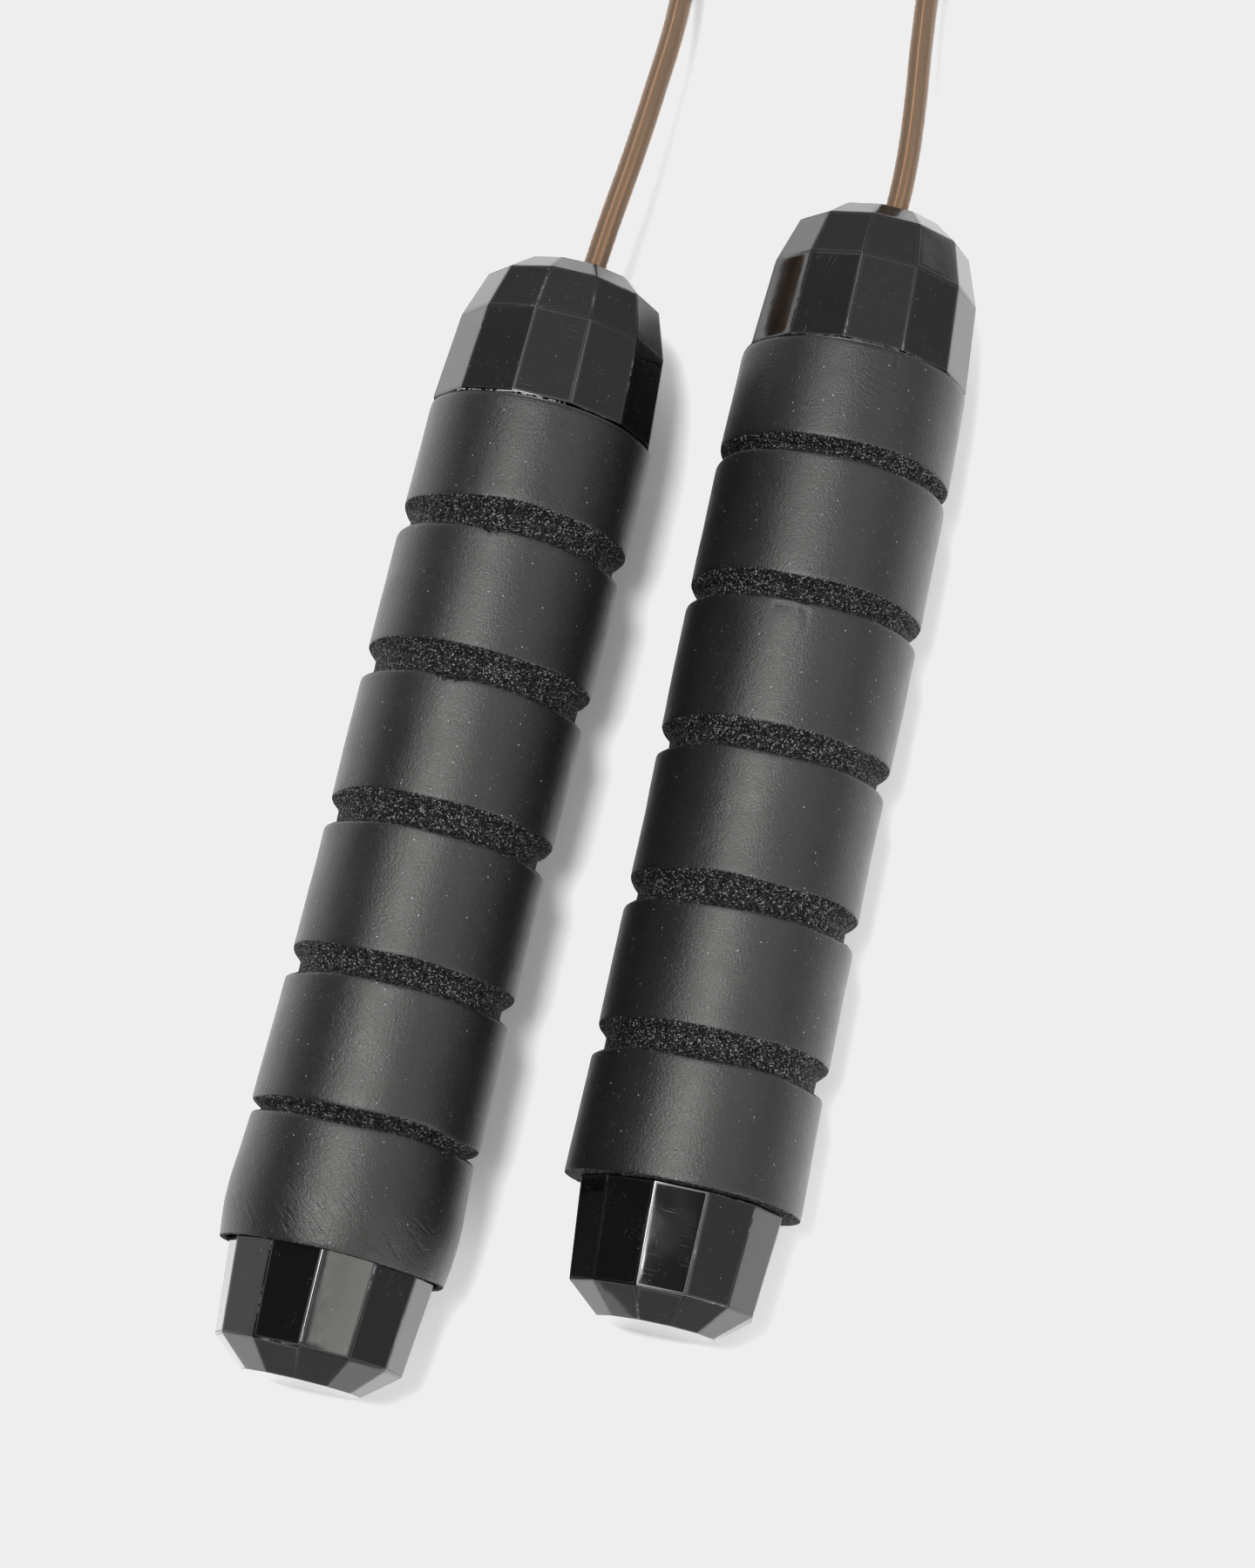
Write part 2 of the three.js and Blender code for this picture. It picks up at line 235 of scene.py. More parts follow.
def specks(nodes, place, spacing, radius, share):
    """A mask of small dots, about spacing apart, of which only a share are there."""
    distance, colour = nodes.cells(place, spacing)
    dot = nodes.ramp(distance, radius / spacing, SPECK_CORE * radius / spacing)
    return nodes.math("MULTIPLY", dot, nodes.math("LESS_THAN", nodes.chance(colour), share))


SCRATCH_WIDTH = 0.12 * MM
SCRATCH_LENGTH = 7 * MM
SCRATCH_AMOUNT = 0.26
SCRATCH_PATCH = 5 * MM  # the scratches come in patches about this size


def scratches(nodes, place, turn):
    """A mask of fine straight marks, all turned the same way."""
    turned = nodes.make("ShaderNodeMapping", {"Vector": place, "Rotation": (0, 0, turn)}).outputs[0]
    stretched = nodes.stretch(turned, (1, SCRATCH_WIDTH / SCRATCH_LENGTH, 1))
    marks = nodes.ramp(nodes.noise(stretched, SCRATCH_WIDTH, 1), 0.98 - SCRATCH_AMOUNT, 1.0 - SCRATCH_AMOUNT)
    return nodes.math("MULTIPLY", marks, nodes.ramp(nodes.noise(place, SCRATCH_PATCH), 0.5, 0.6))


def grey(value, tint=(1, 1, 1)):
    return (value * tint[0], value * tint[1], value * tint[2], 1)


# ---------------------------------------------------------------- the rope

ROPE_RADIUS = 2 * MM
AXIS_Z = AXIS_HEIGHT / MM

# The route, in millimetres, out of each handle to the coil.
LEFT_ROUTE = [
    (-15.13, 34.7, AXIS_Z), (-12.38, 46.38, AXIS_Z), (-9.63, 58.06, AXIS_Z), (-6.6, 68.65, AXIS_Z),
    (-3, 79.4, AXIS_Z), (0.2, 89.6, 17.3), (4.1, 101.5, 16.5), (7.7, 113.8, 14.9), (11, 126.6, 12.4),
    (12.9, 139, 9.1), (12.4, 150.5, 5.9), (9.2, 161, 3.6), (4.8, 169.5, 2.6), (0.9, 177, 2.2),
    (-1.6, 190, 2.5),
]
RIGHT_ROUTE = [
    (33.6, 43.32, AXIS_Z), (36.08, 55.06, AXIS_Z), (38.57, 66.8, AXIS_Z), (41.2, 77.5, AXIS_Z),
    (44, 88, AXIS_Z), (46.6, 98.5, 17.1), (48.4, 110, 16.1), (49.8, 122, 14.3), (51.7, 134, 11.4),
    (54.9, 145.5, 8.1), (58.6, 156.5, 5.1), (62, 167, 3.1), (64.6, 175.5, 2.3), (66, 182, 2.1),
    (67.8, 193, 2.05),
]

# The coil, in millimetres.
COIL_CENTRE = (31, 205)
COIL_TURNS = 15
COIL_LAYERS = 4
TURN_POINTS = 36
COIL_OUTER = 32.7
TURN_PITCH = 4.2
LAYER_PITCH = 4.1
LOWEST_LAYER = 2.95
LAYER_CLIMB = 0.2  # share of a turn in which the rope climbs to the next layer
WINDING_SHARPNESS = 0.995  # how square the winding's turning points are
RAMP_TURNS = 0.5  # the last half turn, back down to the floor outside the coil
RAMP_OUT = 4.3
FLOOR_HEIGHT = 2.05


def coil_point(turn, radius, height):
    angle = math.pi * (1 - 2 * turn)
    return (COIL_CENTRE[0] + radius * math.cos(angle), COIL_CENTRE[1] + radius * math.sin(angle), height)


def winding():
    """The coil's turns: layers wound outwards and inwards by turns, each on the one below."""
    turns_per_layer = COIL_TURNS / COIL_LAYERS
    full = math.asin(WINDING_SHARPNESS)
    points = []
    for i in range(COIL_TURNS * TURN_POINTS + 1):
        turn = i / TURN_POINTS
        sweep = math.asin(WINDING_SHARPNESS * math.cos(math.pi * turn / turns_per_layer)) / (2 * full)
        radius = COIL_OUTER - TURN_PITCH * turns_per_layer * (0.5 - sweep)
        climbs = [smoothstep((turn - b * turns_per_layer) / LAYER_CLIMB + 0.5) for b in range(1, COIL_LAYERS)]
        points.append(coil_point(turn, radius, LOWEST_LAYER + LAYER_PITCH * sum(climbs)))
    return points


def ramp_down(top):
    """The last half turn, which comes down outside the coil to the floor."""
    points = []
    steps = round(RAMP_TURNS * TURN_POINTS)
    for i in range(1, steps + 1):
        share = i / steps
        radius = COIL_OUTER + RAMP_OUT * smoothstep(2 * share)
        points.append(coil_point(RAMP_TURNS * share, radius, top + (FLOOR_HEIGHT - top) * smoothstep(share)))
    return points


def rope_route():
    turns = winding()
    return LEFT_ROUTE + turns + ramp_down(turns[-1][2]) + RIGHT_ROUTE[::-1]


COAT_RESOLUTION = 4  # both along the curve and round its section


def rope_coat(route):
    """The rope's outer coat, a curve through every point of the route."""
    data = bpy.data.curves.new("rope_coat", "CURVE")
    data.dimensions = "3D"
    data.twist_mode = "MINIMUM"
    data.resolution_u = COAT_RESOLUTION
    data.bevel_depth = ROPE_RADIUS
    data.bevel_resolution = COAT_RESOLUTION
    data.use_fill_caps = True
    spline = data.splines.new("BEZIER")
    spline.bezier_points.add(len(route) - 1)
    for knot, point in zip(spline.bezier_points, route):
        knot.co = Vector(point) * MM
        knot.handle_left_type = knot.handle_right_type = "AUTO"
    return add_object("rope_coat", data)


def centreline(coat):
    """The points that a curve follows."""
    depth, coat.data.bevel_depth = coat.data.bevel_depth, 0
    line = coat.evaluated_get(bpy.context.evaluated_depsgraph_get()).to_mesh()
    points = np.array([vertex.co for vertex in line.vertices])
    coat.data.bevel_depth = depth
    return points


WIRE_RADIUS = 1.78 * MM
WIRE_STRANDS = 12
WIRE_RELIEF = 0.02 * MM
WIRE_LAY = 14 * MM  # the length in which a strand goes once round
WIRE_SIDES = 3  # per strand
WIRE_STEP = 1.1 * MM


def resampled(points, step):
    along = np.concatenate([[0], np.cumsum(np.linalg.norm(np.diff(points, axis=0), axis=1))])
    at = np.linspace(0, along[-1], round(along[-1] / step))
    return np.stack([np.interp(at, along, points[:, k]) for k in range(3)], axis=1), at


def wire_mesh(points):
    """The twisted wire inside the coat: strands side by side round the centreline."""
    line, along = resampled(points, WIRE_STEP)
    tangents = np.gradient(line, axis=0)
    tangents /= np.linalg.norm(tangents, axis=1)[:, None]
    side = np.cross(tangents, UP)
    side /= np.linalg.norm(side, axis=1)[:, None]
    lift = np.cross(side, tangents)
    count = WIRE_STRANDS * WIRE_SIDES
    within = np.arange(count) * 2 * math.pi / count
    radius = WIRE_RADIUS - WIRE_RELIEF * (1 - np.abs(np.sin(WIRE_STRANDS * within / 2)))
    angle = within[None, :] + 2 * math.pi * along[:, None] / WIRE_LAY
    offset = side[:, None, :] * np.cos(angle)[..., None] + lift[:, None, :] * np.sin(angle)[..., None]
    return grid_mesh("rope_wire", line[:, None, :] + radius[None, :, None] * offset, False, True)


def close_ends(mesh):
    work = bmesh.new()
    work.from_mesh(mesh)
    bmesh.ops.holes_fill(work, edges=[edge for edge in work.edges if edge.is_boundary], sides=0)
    work.to_mesh(mesh)
    work.free()


def make_rope():
    coat = rope_coat(rope_route())
    mesh = wire_mesh(centreline(coat))
    close_ends(mesh)
    face_out(mesh)
    mesh.shade_smooth()
    return coat, add_object("rope_wire", mesh)


# ---------------------------------------------------------------- the foam grips

COLUMNS = 470
ANGLES = np.linspace(-math.pi, math.pi, COLUMNS, endpoint=False)
FOAM_BORE = 12.3
FOAM_FRONT = 25.3
CAP_BASE = 154.7  # station where the end cap's flats begin, inside the foam
FLOOR_CLEARANCE = 0.03
GROOVE_DEPTH = 1.5
UPPER_WALL = 1.8
LOWER_WALL = 0.9

# Stations and lengths in millimetres, angles in degrees from the top.
# "radius" is the skin's radius at some stations, and "grooves" is where each groove starts and ends.
# A nick is (groove, angle, half width, how far it eats into the skin below).
# A crease is (station, angle, station, angle, height, width), and is sunken where its height is negative.
# "wrinkles" is the window (station, station, angle, angle) that they fill, and "wrinkle_turn" how they slant.
# "seam_burrs" is (angle, angle, count) along the nose cap's edge.
# "front" is the station of the foam's front.
GRIPS = {
    "left": {
        "radius": [(25, 17.35), (45, 17.4), (60, 17.3), (75, 17.2), (85, 17.1), (100, 16.9), (115, 17),
                   (125, 17.1), (135, 17.3), (138, 16.95), (142, 17.2), (148, 17.55), (152, 17.4),
                   (156, 16.9)],
        "grooves": [(41.9, 46.8), (64.8, 70.1), (88.5, 93.6), (112.3, 116.8), (135.6, 137.9)],
        "end": 156.2,
        "end_bore": 15.9,
        "nicks": [(0, -6, 5, 0.45), (1, -8, 7, 0.6), (2, 42, 3, 0.2)],
        "creases": [(67.2, -24, 67.5, -8, 0.35, 0.18), (68.6, -17, 68.9, -3, 0.3, 0.16),
                    (46.2, -10, 46.5, -2, 0.3, 0.14), (69.6, -14, 70.6, -6, 0.2, 0.15)],
        "wrinkles": (146, 156.5, -75, 80),
        "wrinkle_turn": -36,
        "seam_burrs": (-48, 14, 60),
        "front": 25.3,
    },
    "right": {
        "radius": [(25, 17.5), (29, 17.6), (40, 17.8), (60, 17.8), (75, 17.75), (85, 17.6), (100, 17.3),
                   (113, 17.45), (135, 17.45), (145, 17.6), (154, 17.8)],
        "grooves": [(40.9, 43.9), (62.8, 66.9), (85.7, 90.3), (109.2, 114.2), (132, 136.8)],
        "end": 154.7,
        "end_bore": 12.3,
        "nicks": [(1, 0, 3, 0.2), (3, -30, 4, 0.2)],
        "creases": [(67.5, -16, 68.1, 3, -0.16, 0.22), (67.9, -2, 68.5, 6, -0.12, 0.2),
                    (25.9, 20, 27.2, 21, -0.2, 0.2)],
        "wrinkles": (26.5, 35, -5, 42),
        "wrinkle_turn": -62,
        "seam_burrs": (-12, 20, 5),
        "front": 25.1,
    },
}


def ripple(low, high, amplitude):
    """A random curve round the handle, with between low and high waves in a turn."""
    waves = np.arange(low, high)
    phases = rng.uniform(0, 2 * math.pi, len(waves))
    weights = rng.uniform(0.3, 1, len(waves))
    curve = (weights[:, None] * np.cos(waves[:, None] * ANGLES + phases[:, None])).sum(axis=0)
    return amplitude * curve / math.sqrt((weights ** 2).sum() / 2)


def edge_curve(station, wander, ragged):
    return station + ripple(1, 7, wander) + ripple(70, 200, ragged)


def lower_edge(grip, groove, station):
    """The edge of the skin below a groove, with its nicks."""
    edge = edge_curve(station, 0.1, 0.03)
    for at, angle, half_width, bite in grip["nicks"]:
        if at == groove:
            nick = np.exp(-((np.degrees(ANGLES) - angle) / half_width) ** 2)
            edge += nick * (bite + ripple(50, 160, 0.35 * bite))
    return edge


def groove_depth(share_from_top, width):
    """How deep the groove is at a share of its width: a long upper wall, a floor and a short lower wall."""
    x = share_from_top * width
    upper = np.clip(x / min(UPPER_WALL, 0.5 * width), 0, 1)
    lower = np.clip((width - x) / min(LOWER_WALL, 0.38 * width), 0, 1)
    fall = 0.45 * upper + 0.55 * smoothstep(upper)
    rise = 0.3 * lower + 0.7 * smoothstep(lower)
    return min(GROOVE_DEPTH, 0.62 * width) * np.minimum(fall, rise)


SKIN, CUT = 0, 1


class Rows:
    """The rows of a foam grip, each a station and a radius at every angle, in millimetres."""

    def __init__(self):
        self.stations = []
        self.radii = []
        self.looks = []

    def add(self, station, radius, look):
        self.stations.append(np.broadcast_to(station, COLUMNS).astype(float))
        self.radii.append(np.broadcast_to(radius, COLUMNS).astype(float))
        self.looks.append(look)


def foam_rows(grip):
    at, sizes = zip(*grip["radius"])

    def radius_at(station):
        return np.interp(station, at, sizes)

    rows = Rows()
    front = grip["front"] + ripple(1, 6, 0.03)
    rows.add(FOAM_FRONT + 0.2, FOAM_BORE, CUT)
    rows.add(front, radius_at(FOAM_FRONT) - 2, CUT)
    rows.add(front, radius_at(FOAM_FRONT) - 0.25, SKIN)
    rows.add(front + 0.08, radius_at(FOAM_FRONT) - 0.08, SKIN)
    start = front + 0.3
    for number, (top, bottom) in enumerate(grip["grooves"]):
        upper = edge_curve(top, 0.12, 0.05)
        lower = lower_edge(grip, number, bottom)
        add_band(rows, start, upper, radius_at)
        add_groove(rows, upper, lower, radius_at)
        start = lower
    end = grip["end"] + ripple(1, 6, 0.08) + ripple(60, 160, 0.02)
    add_band(rows, start, end, radius_at)
    add_rear_end(rows, grip, end, radius_at)
    return rows


EDGE_ROWS = (0.0, 0.1, 0.3, 0.7)  # distances from a band's edge at which it has a row
EDGE_ZONE = 1.2
BAND_ROWS = 9
START_CURL = 0.13  # how far the skin turns in where a band starts
END_CURL = 0.08
CURL_REACH = 0.16


def add_band(rows, start, end, radius_at):
    """A band of skin, whose edges turn in a little."""
    stations = [start + d for d in EDGE_ROWS]
    low, high = start + EDGE_ZONE, end - EDGE_ZONE
    stations += [low + (high - low) * i / (BAND_ROWS - 1) for i in range(BAND_ROWS)]
    stations += [end - d for d in reversed(EDGE_ROWS)]
    for station in stations:
        curl = START_CURL * np.exp(-(station - start) / CURL_REACH)
        curl += END_CURL * np.exp(-(end - station) / CURL_REACH)
        rows.add(station, radius_at(station) - curl, SKIN)
    rows.looks[-1] = CUT


GROOVE_ROWS = 19


def add_groove(rows, top, bottom, radius_at):
    width = float(np.mean(bottom - top))
    scale = 1 + ripple(1, 9, 0.07)
    for i in range(1, GROOVE_ROWS):
        share = i / GROOVE_ROWS
        station = top + (bottom - top) * share
        edge = END_CURL * (1 - share) + START_CURL * share
        rows.add(station, radius_at(station) - edge - groove_depth(share, width) * scale, CUT)


def add_rear_end(rows, grip, end, radius_at):
    """The cut end, and the bore back to the front."""
    outer = radius_at(grip["end"]) - 0.25
    bore = grip["end_bore"]
    for share in (0.0, 0.25, 0.5, 0.75):
        rows.add(end + 0.06, outer + (bore + 0.2 - outer) * share, CUT)
    rows.add(end, bore + 0.2, CUT)
    rows.add(end - 0.2, bore, CUT)
    if bore > FOAM_BORE:
        rows.add(CAP_BASE + 0.3, bore, CUT)
        rows.add(CAP_BASE, bore - 0.4, CUT)
        rows.add(CAP_BASE, FOAM_BORE + 0.2, CUT)
    first, last = CAP_BASE - 0.6, FOAM_FRONT + 0.8
    for share in (0.0, 0.25, 0.5, 0.75, 1.0):
        rows.add(first + (last - first) * share, FOAM_BORE, CUT)


SEEDS = {"left": Vector((11.3, 5.7, 2.9)), "right": Vector((3.1, 8.2, 6.4))}
DENT_SIZE = 9
DENT_DEPTH = 0.06
CELL_SIZE = 0.5
CELL_DEPTH = 0.07
MEAN_RADIUS = 17.3  # for turning angles into distances round the skin


def noise_field(points, seed):
    """Smooth noise at each point of an array, with features about one unit across."""
    flat = points.reshape(-1, 3)
    values = [noise.noise(Vector(point) + seed) for point in flat]
    return np.array(values).reshape(points.shape[:-1])


def creases(grip, station, around):
    """Raised or sunken lines, at points given by station and distance round the handle."""
    change = np.zeros_like(station)
    for t0, a0, t1, a1, height, width in grip["creases"]:
        start = np.array([t0, math.radians(a0) * MEAN_RADIUS])
        along = np.array([t1, math.radians(a1) * MEAN_RADIUS]) - start
        offset = np.stack([station, around], axis=-1) - start
        share = np.clip(offset @ along / (along @ along), 0, 1)
        away = np.linalg.norm(offset - share[..., None] * along, axis=-1)
        change += height * np.exp(-(away / width) ** 2) * np.sqrt(np.maximum(1 - (2 * share - 1) ** 4, 0))
    return change


def wrinkled(grip, station, angle):
    """How wrinkled the skin is at each point, from 0 to 1."""
    first, last, low, high = grip["wrinkles"]
    lengthways = smoothstep((station - first) / 3) * smoothstep((last - station) / 1.5)
    return lengthways * smoothstep((angle - low) / 20) * smoothstep((high - angle) / 20)


def relief(side, stations, radii, looks):
    """What the outside's radius gains or loses: dents, torn cells in the grooves, and creases."""
    grip = GRIPS[side]
    outside = np.nonzero(radii[:, 0] > FOAM_BORE + 1)[0]
    station, radius = stations[outside], radii[outside]
    look = np.array(looks)[outside]
    place = placed(side, radius * MM, station * MM, ANGLES[None, :]) / MM
    around = np.broadcast_to(ANGLES * MEAN_RADIUS, station.shape)
    change = np.zeros_like(radii)
    gain = DENT_DEPTH * noise_field(place / DENT_SIZE, SEEDS[side])
    gain += 0.4 * DENT_DEPTH * noise_field(place / (0.4 * DENT_SIZE), SEEDS[side])
    gain += creases(grip, station, around)
    torn = (look == CUT) & (np.roll(look, 1) == CUT)
    gain[torn] += CELL_DEPTH * noise_field(place[torn] / CELL_SIZE, SEEDS[side])
    change[outside] = gain
    return change


def flattened(radius, angle):
    """The radius at which a grip that lies on the floor is pressed flat, in millimetres."""
    below = -np.cos(angle)
    reach = AXIS_HEIGHT / MM - FLOOR_CLEARANCE
    flat = np.where(below > 0.5, reach / np.maximum(below, 0.5), np.inf)
    return np.minimum(radius, flat)


def foam_grip(side):
    rows = foam_rows(GRIPS[side])
    stations = np.array(rows.stations)
    radii = np.array(rows.radii)
    radii += relief(side, stations, radii, rows.looks)
    radii = flattened(radii, ANGLES[None, :])
    mesh = grid_mesh(f"{side}_foam", placed(side, radii * MM, stations * MM, ANGLES[None, :]), True, True)
    mesh.polygons.foreach_set("material_index", np.repeat(np.array(rows.looks, dtype=np.int32), COLUMNS))
    amount = wrinkled(GRIPS[side], stations, np.degrees(ANGLES)[None, :])
    turn = np.full(amount.size, math.radians(GRIPS[side]["wrinkle_turn"]))
    for name, values in (("wrinkled", amount.reshape(-1)), ("wrinkle_turn", turn)):
        mesh.attributes.new(name, "FLOAT", "POINT").data.foreach_set("value", values)
    face_out(mesh)
    shade(mesh, 40)
    piece = add_object(f"{side}_foam", mesh)
    for look in ("foam_skin", "foam_cut"):
        mesh.materials.append(MATERIALS[look])
    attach(piece, f"{side}_handle")
    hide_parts(f"{side}_foam_grip")


# ---------------------------------------------------------------- the caps

CAP_EDGE = 0.14 * MM
EDGE_ANGLE = math.radians(12)
SMALLEST_FACET = 12e-6  # square metres
FLAT, EDGE, RIM = 0, 1, 2

# The steps in which a flat rises to its crown: each one's share of the facet's width, and its rise.
CROWN_STEPS = [(0.035, 0.011 * MM), (0.05, 0.006 * MM), (0.07, 0.003 * MM)]
RUBBED_STEPS = 1  # how many of them, from the edge, are rubbed


def is_facet(face, axis_point, axis):
    """Whether a face is one of a cap's outer flats."""
    if len(face.verts) != 4 or face.calc_area() < SMALLEST_FACET:
        return False
    offset = face.calc_center_median() - axis_point
    outward = offset - axis * offset.dot(axis)
    return face.normal.dot(outward) > 0


def crown_facets(work, side):
    """Raises each flat a little inside its edges, as moulded flats come out, and marks the rims that are worn
    rough.
    """
    axis = FRAMES[side].to_3x3() @ Vector((0, 1, 0))
    facets = [face for face in work.faces if is_facet(face, FRAMES[side].translation, axis)]
    widths = [min(edge.calc_length() for edge in face.edges) for face in facets]
    for step, (share, rise) in enumerate(CROWN_STEPS):
        for face, width in zip(facets, widths):
            inset = {"faces": [face], "thickness": share * width, "depth": rise, "use_even_offset": True}
            rim = bmesh.ops.inset_individual(work, **inset)["faces"]
            for part in rim:
                part.material_index = RIM if step < RUBBED_STEPS else FLAT


def moulded_cap(side, which):
    """The CAD cap with its edges rounded and its flats crowned as a mould leaves them."""
    mesh = frame["nodes"][f"{side}_{which}_cap"].data.copy()
    mesh.materials.clear()
    work = bmesh.new()
    work.from_mesh(mesh)
    bmesh.ops.remove_doubles(work, verts=work.verts, dist=1e-6)
    bmesh.ops.dissolve_limit(work, angle_limit=math.radians(0.5), verts=work.verts, edges=work.edges)
    edges = [edge for edge in work.edges if edge.is_manifold and edge.calc_face_angle() > EDGE_ANGLE]
    for face in work.faces:
        face.material_index = FLAT
    bmesh.ops.bevel(work, geom=edges, offset=CAP_EDGE, segments=2, profile=0.5, affect="EDGES", material=EDGE)
    crown_facets(work, side)
    work.to_mesh(mesh)
    work.free()
    for look in ("cap", "cap_edge", "cap_rim"):
        mesh.materials.append(MATERIALS[look])
    piece = add_object(f"{side}_{which}_cap_moulding", mesh)
    shade(mesh, 25)
    weighting = piece.modifiers.new("flat", "WEIGHTED_NORMAL")
    weighting.keep_sharp = True
    with_modifiers_applied(piece)
    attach(piece, f"{side}_handle")
    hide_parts(f"{side}_{which}_cap")


CAP_SIDES = 12
SEAM_RADIUS = 17.55
SEAM_STATION = 25.05
CAP_TURNS = {"left": 1.4, "right": 7.0}  # degrees from the top to the middle of a nose flat


def seam_burrs(side):
    """Pale flakes of plastic along the nose cap's edge, where it meets the foam."""
    low, high, count = GRIPS[side]["seam_burrs"]
    step = 360 / CAP_SIDES
    vertices, faces = [], []
    for _ in range(count):
        angle = rng.uniform(low, high)
        from_middle = (angle - CAP_TURNS[side] + step / 2) % step - step / 2
        flat_radius = SEAM_RADIUS * math.cos(math.radians(step / 2)) / math.cos(math.radians(from_middle))
        length, height = rng.uniform(0.5, 2.6), rng.uniform(0.03, 0.09)
        radii = np.array([-0.1, -0.1, height, -0.1]) + flat_radius
        stations = np.array([0, 0.04, 0.08, 0.2]) + SEAM_STATION
        angles = np.radians(angle + length * np.array([-0.5, 0.5, rng.uniform(-0.3, 0.3), 0]))
        base = len(vertices)
        vertices += placed(side, radii * MM, stations * MM, angles).tolist()
        faces += [(base + a, base + b, base + c) for a, b, c in ((0, 1, 2), (0, 2, 3), (1, 3, 2), (0, 3, 1))]
    mesh = bpy.data.meshes.new(f"{side}_seam_burrs")
    mesh.from_pydata(vertices, [], faces)
    face_out(mesh)
    mesh.materials.append(MATERIALS["burr"])
    piece = add_object(f"{side}_seam_burrs", mesh)
    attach(piece, f"{side}_handle")


# ---------------------------------------------------------------- the materials

CAP_BLACK = 0.003
CAP_IOR = 1.52
SCRATCH_TURNS = (0.5, -1.3)


def cap_material(name, roughness):
    """Black gloss plastic, polished or worn rough, with a few marks and specks of dust."""
    material, nodes, surface, place = new_material(name)
    smudge = nodes.noise(place, 9 * MM, 3)
    wave = nodes.bump(nodes.noise(place, 8 * MM, 0), 0.045 * MM)
    orange_peel = nodes.bump(nodes.noise(place, 1.6 * MM, 1), 0.004 * MM, wave)
    marks = nodes.math("MAXIMUM", *[scratches(nodes, place, turn) for turn in SCRATCH_TURNS])
    dust = specks(nodes, place, 1.5 * MM, 0.1 * MM, 0.4)
    worn = nodes.math("MAXIMUM", nodes.math("MULTIPLY", marks, 0.35), dust)
    nodes.put(surface.inputs["Normal"], orange_peel)
    nodes.put(surface.inputs["Base Color"], nodes.mix(worn, grey(CAP_BLACK, (1, 1, 1.05)), grey(0.14)))
    nodes.put(surface.inputs["Roughness"], nodes.ramp(smudge, 0.35, 0.8, *roughness))
    nodes.put(surface.inputs["IOR"], CAP_IOR)
    return material


def cap_edge_material():
    """The caps' edges, paler in a few places: partly wear, partly a painted highlight along the edges."""
    material, nodes, surface, place = new_material("worn_plastic_edge_with_painted_highlight")
    patch = nodes.ramp(nodes.noise(place, 7 * MM, 0), 0.54, 0.66)
    wear_and_painted_highlight = nodes.math("MULTIPLY", patch, nodes.ramp(nodes.noise(place, 1.2 * MM, 4, 0.7), 0.42, 0.6))
    # painted highlight: the paler colour here is partly wear and partly stands in for light caught along the
    # edges
    nodes.put(surface.inputs["Base Color"], nodes.mix(wear_and_painted_highlight, grey(CAP_BLACK), grey(0.08, (0.97, 1, 1.04))))
    nodes.put(surface.inputs["Roughness"], nodes.ramp(wear_and_painted_highlight, 0.0, 1.0, 0.1, 0.35))
    nodes.put(surface.inputs["IOR"], CAP_IOR)
    return material


WRINKLE_PITCH = 0.55 * MM
WRINKLE_STRETCH = (1, 0.14, 0.3)


def wrinkle_height(nodes, place):
    """Fine slanting furrows where the mesh says that it is wrinkled."""
    turn = nodes.make("ShaderNodeAttribute", attribute_name="wrinkle_turn").outputs["Fac"]
    inputs = {"Vector": place, "Angle": turn}
    turned = nodes.make("ShaderNodeVectorRotate", inputs, rotation_type="Z_AXIS").outputs[0]
    stretched = nodes.stretch(turned, WRINKLE_STRETCH)
    furrow = nodes.ramp(nodes.noise(stretched, WRINKLE_PITCH, 1), 0.52, 0.66, 1.0, 0.0)
    amount = nodes.make("ShaderNodeAttribute", attribute_name="wrinkled").outputs["Fac"]
    return nodes.math("MULTIPLY", furrow, amount)


def foam_skin_material():
    """Satin foam skin, finely grained and softly dented, with dust on it."""
    material, nodes, surface, place = new_material("foam_skin")
    grain = nodes.noise(place, 0.3 * MM, 3, 0.7)
    pore, _ = nodes.cells(place, 0.55 * MM)
    blotch = nodes.noise(place, 5 * MM, 4, 0.6)
    dust = nodes.math("MAXIMUM", specks(nodes, place, 1.6 * MM, 0.13 * MM, 0.6),
                      specks(nodes, place, 0.9 * MM, 0.07 * MM, 0.5))
    swell = nodes.bump(blotch, 0.045 * MM)
    pitted = nodes.bump(pore, 0.02 * MM, swell)
    grained = nodes.bump(grain, 0.075 * MM, pitted)
    nodes.put(surface.inputs["Normal"], nodes.bump(wrinkle_height(nodes, place), 0.026 * MM, grained))
    skin = nodes.mix(blotch, grey(0.004), grey(0.006, (1, 1, 0.96)))
    flecked = nodes.mix(nodes.ramp(grain, 0.5, 0.75), skin, grey(0.014))
    nodes.put(surface.inputs["Base Color"], nodes.mix(dust, flecked, grey(0.22)))
    nodes.put(surface.inputs["Specular Tint"], (1, 0.99, 0.955, 1))
    nodes.put(surface.inputs["Roughness"], nodes.ramp(blotch, 0.3, 0.7, 0.32, 0.38))
    nodes.put(surface.inputs["IOR"], 1.46)
    return material


CUT_CELL = 0.18 * MM


